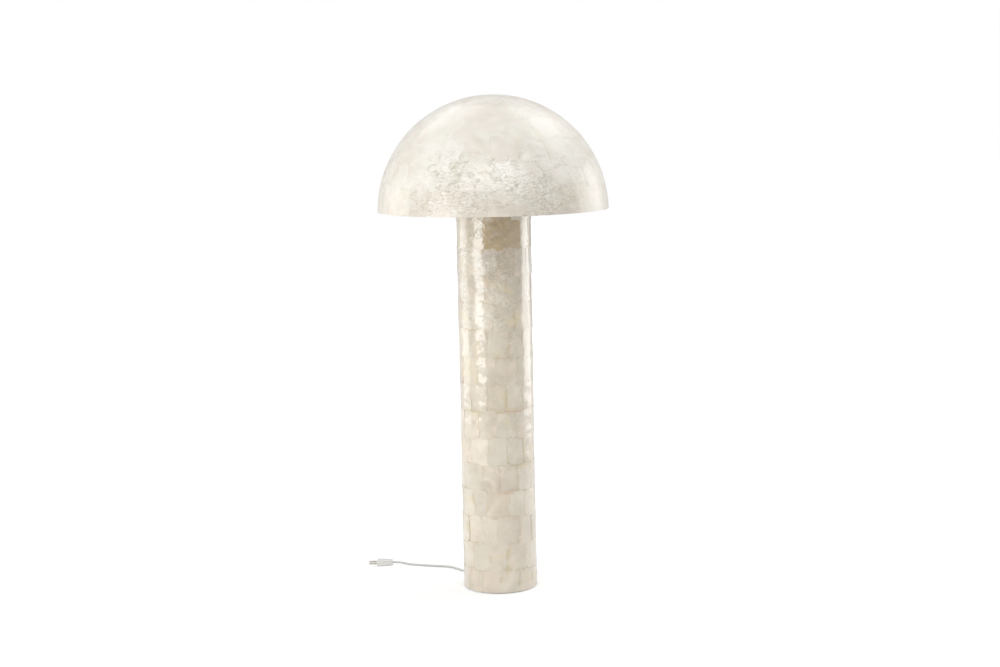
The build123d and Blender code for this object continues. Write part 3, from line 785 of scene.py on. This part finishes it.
def dome_leaves(random):
    """Courses of lapped shells up the dome, fewer in each course, and one round shell at the crown."""
    low = math.asin(DOME_CUT / DOME_RADIUS)
    lines = np.linspace(low, DOME_CROWN, DOME_COURSES + 1)
    habit = {
        "outline": (0.06, 0.015),
        "layer": 0.0002,
        "rock": 0.0001,
        "flat": 0.0002,
        "ripple": 0.00012,
        "waves": (0.025, 0.06),
        "lip": 0.0002,
        "limit": DOME_PLAY,
    }
    leaves = []
    for number, (below, above) in enumerate(zip(lines, lines[1:])):
        level = (below + above) / 2
        count = round(2 * math.pi * DOME_FACE * math.cos(level) / DOME_SHELL_WIDTH)
        pitch = 2 * math.pi / count
        seams = np.arange(count) + random.uniform(0, 1) + random.normal(0, DOME_DRIFT, count)
        ends = np.append(seams[1:], seams[0] + count)
        mean_tone = SHADED_RIM_TONE if number == 0 else DOME_TONE
        for start, end in zip(seams, ends):
            width = (end - start) * pitch * DOME_FACE * math.cos(level)
            half = width / 2 + DOME_LAP, (above - below) * DOME_FACE / 2 + DOME_LAP
            tone = random.normal(mean_tone, DOME_TONE_SPREAD)
            marks = np.clip(tone, 0, 1), random.uniform(0.25, 0.75), 0.0
            centre = (start + end) / 2 * pitch, level + random.uniform(-1, 1) * DOME_STAGGER / DOME_FACE
            leaves.append(new_leaf(random, centre, half, marks, turn=0.07, **habit))
    reach = (math.pi / 2 - DOME_CROWN) * DOME_FACE + DOME_LAP
    pole = (0.0, math.pi / 2)
    crown = new_leaf(random, pole, (reach, reach), CROWN_MARKS, turn=0.0, disc=True, **habit)
    leaves.append(crown)
    return leaves


def on_dome(leaf, x, y, lift):
    """Distances along the face laid on the sphere, lifted from its mean radius.

    A shell of a course narrows towards the crown as the cosine of its height angle, and stops at the
    rim. The round shell at the crown is laid straight down on the pole.
    """
    radius = DOME_FACE + lift
    if leaf["disc"]:
        away = np.hypot(x, y) / DOME_FACE
        turn = np.arctan2(y, x)
        rise = math.pi / 2 - away
    else:
        rise = np.maximum(leaf["centre"][1] + y / DOME_FACE, math.asin(DOME_CUT / DOME_FACE))
        turn = leaf["centre"][0] + x / (DOME_FACE * math.cos(leaf["centre"][1]))
    level = radius * np.cos(rise)
    height = DOME_CENTRE + np.maximum(radius * np.sin(rise), DOME_CUT)
    return np.stack((level * np.cos(turn), level * np.sin(turn), height), -1)


leaves_piece(
    "shade_shells", dome_leaves(random), on_dome, -DOME_LEAF_DEPTH, dome_nacre, "shade"
)

skin, bore = DOME_RADIUS - DOME_SKIN_DEPTH, DOME_RADIUS - DOME_WALL
near_pole = math.pi / 2 - DOME_PINHOLE
skin_arc = np.linspace(math.asin(DOME_CUT / skin), near_pole, ARC_STEPS)
bore_arc = np.linspace(near_pole, math.asin(DOME_CUT / bore), ARC_STEPS)
outline_r = np.concatenate((skin * np.cos(skin_arc), bore * np.cos(bore_arc)))
outline_z = DOME_CENTRE + np.concatenate((skin * np.sin(skin_arc), bore * np.sin(bore_arc)))
shade_body = turned_piece("shade_body", outline_r, outline_z, resin, "shade")
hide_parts("shade_dome")


# ------------------------------------------------------------------ stage and light
FLOOR_REACH = 12.0
WHITE = paint(255, 255, 255)
GLOW_NEAR, GLOW_FAR = 0.2, 2.2   # distances from the origin between which the floor's added white grows
GLOW_LEAST = 0.37                # that white near the origin; far from it, it is 1
GLOW_MIRRORED = 0.4              # share of it that reflections show


def pale_ground(name, colour):
    """Pale matt ground, which fades to plain white away from the object.

    The white is added for the camera alone, and in part for reflections. It grows with the distance
    from the origin, so that the object keeps its shadow.
    """
    material, tree, shader = new_material(name)
    tree.nodes.remove(shader)
    path = add_node(tree, "LightPath").outputs
    seen = calc(tree, "MAXIMUM", path["Is Camera Ray"], path["Is Transmission Ray"])
    mirrored = calc(tree, "MULTIPLY", path["Is Glossy Ray"], GLOW_MIRRORED)
    seen = calc(tree, "MAXIMUM", seen, mirrored)
    away = add_node(tree, "VectorMath", {0: object_coords(tree)}, operation="LENGTH").outputs["Value"]
    glow = calc(tree, "MULTIPLY", seen, ranged(tree, away, GLOW_NEAR, GLOW_FAR, GLOW_LEAST, 1.0))
    matt = add_node(tree, "BsdfDiffuse", {"Color": colour})
    light = add_node(tree, "Emission", {"Color": WHITE, "Strength": glow})
    both = add_node(tree, "AddShader", {0: matt.outputs[0], 1: light.outputs[0]})
    output = next(node for node in tree.nodes if node.type == "OUTPUT_MATERIAL")
    tree.links.new(both.outputs[0], output.inputs["Surface"])
    return material


def pale_world(level, mirrored):
    """A world that is white to the camera, with one strength as light and another in reflections."""
    world = bpy.data.worlds.new("studio")
    world.use_nodes = True
    tree = world.node_tree
    tree.nodes.clear()
    path = add_node(tree, "LightPath").outputs
    seen = calc(tree, "MAXIMUM", path["Is Camera Ray"], path["Is Transmission Ray"])
    unseen = ranged(tree, path["Is Glossy Ray"], 0.0, 1.0, level, mirrored)
    strength = calc(tree, "MAXIMUM", seen, unseen)
    light = add_node(tree, "Background", {"Color": WHITE, "Strength": strength})
    add_node(tree, "OutputWorld", {"Surface": light.outputs[0]})
    bpy.context.scene.world = world


def softbox(name, place, aim, width, height, radiance):
    """A rectangular lamp that faces a point, and that no camera sees.

    Its power is pi times its radiance times its area.
    """
    data = bpy.data.lights.new(name, "AREA")
    data.shape = "RECTANGLE"
    data.size = width
    data.size_y = height
    data.energy = math.pi * radiance * width * height
    lamp = bpy.data.objects.new(name, data)
    turn = (Vector(aim) - Vector(place)).to_track_quat("-Z", "Y").to_matrix().to_4x4()
    lamp.matrix_world = Matrix.Translation(place) @ turn
    lamp.visible_camera = False
    bpy.context.scene.collection.objects.link(lamp)


def floor():
    """A wide pale floor, in the plane that the lamp stands on."""
    corners = [(x * FLOOR_REACH, y * FLOOR_REACH, 0) for x, y in ((-1, -1), (1, -1), (1, 1), (-1, 1))]
    mesh = bpy.data.meshes.new("floor")
    mesh.from_pydata(corners, [], [(0, 1, 2, 3)])
    mesh.materials.append(pale_ground("floor_white", paint(221, 221, 221)))
    ground = bpy.data.objects.new("floor", mesh)
    bpy.context.scene.collection.objects.link(ground)


floor()
pale_world(level=0.52, mirrored=0.56)
# each softbox: name, place, aim, width, height, radiance
softbox("over_left", (-1.0, 1.5, 3.0), (0, 0, 0.9), 1.6, 1.4, 1.15)
softbox("over_right", (1.4, 0.8, 2.95), (0, 0, 0.9), 2.2, 1.4, 1.75)
softbox("front_high", (0.0, -2.2, 2.6), (0, 0, 0.9), 2.4, 1.0, 3.2)
softbox("left_front", (-2.04, -1.77, 0.75), (0, 0, 0.6), 1.3, 1.3, 4.2)
softbox("left_wall", (-2.2, 0.67, 0.75), (0, 0, 0.75), 1.4, 1.4, 1.6)
softbox("right_wall", (2.1, 0.9, 0.8), (0, 0, 0.8), 1.5, 1.7, 2.1)

scene = bpy.context.scene
scene.view_settings.view_transform = "Standard"
